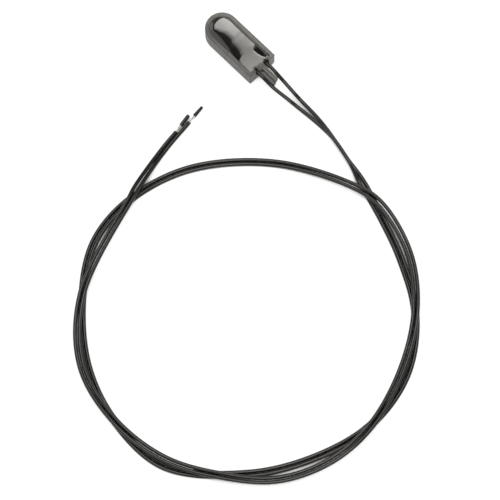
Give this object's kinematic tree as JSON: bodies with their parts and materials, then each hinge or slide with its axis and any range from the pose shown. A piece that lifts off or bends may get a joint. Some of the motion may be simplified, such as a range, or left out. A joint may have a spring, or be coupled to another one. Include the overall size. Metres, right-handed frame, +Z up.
{
  "type": "ambient temperature sensor",
  "caption": "Resin-filled boat-shaped sensor head with a round nose and ribbed tongue, and two long loose black leads with stripped tips laid in one big loop.",
  "frame": {"origin": "centre of the head's bounding box in plan, on the underside that it rests on", "axes": "+X along the head from its round nose to its lead end, +Y across the head to the side of lead b, +Z up out of the open side"},
  "size_m": [0.1528, 0.1387, 0.007],
  "materials": {
    "shell_plastic": "satin moulded",
    "casting_resin": "gloss",
    "lead_insulation": "satin",
    "tinned_copper": "bright tinned",
    "solder": "satin",
    "chip_ceramic": "matte",
    "bead_resin": "gloss",
    "sleeve_plastic": "satin"
  },
  "bodies": {
    "root": {"shell": "shell_plastic", "potting": "casting_resin", "lead_a": "lead_insulation", "lead_b": "lead_insulation", "tip_core_a": "tinned_copper", "tip_core_b": "tinned_copper", "tip_slug_a": "lead_insulation", "tip_slug_b": "lead_insulation", "ntc_chip": "chip_ceramic", "bead_coat": "bead_resin", "bead_leg_a": "tinned_copper", "bead_leg_b": "tinned_copper", "splice_a": "solder", "splice_b": "solder", "sleeve_a": "sleeve_plastic", "sleeve_b": "sleeve_plastic", "inner_core_a": "tinned_copper", "inner_core_b": "tinned_copper", "inner_lead_a": "lead_insulation", "inner_lead_b": "lead_insulation"}
  },
  "joints": []
}
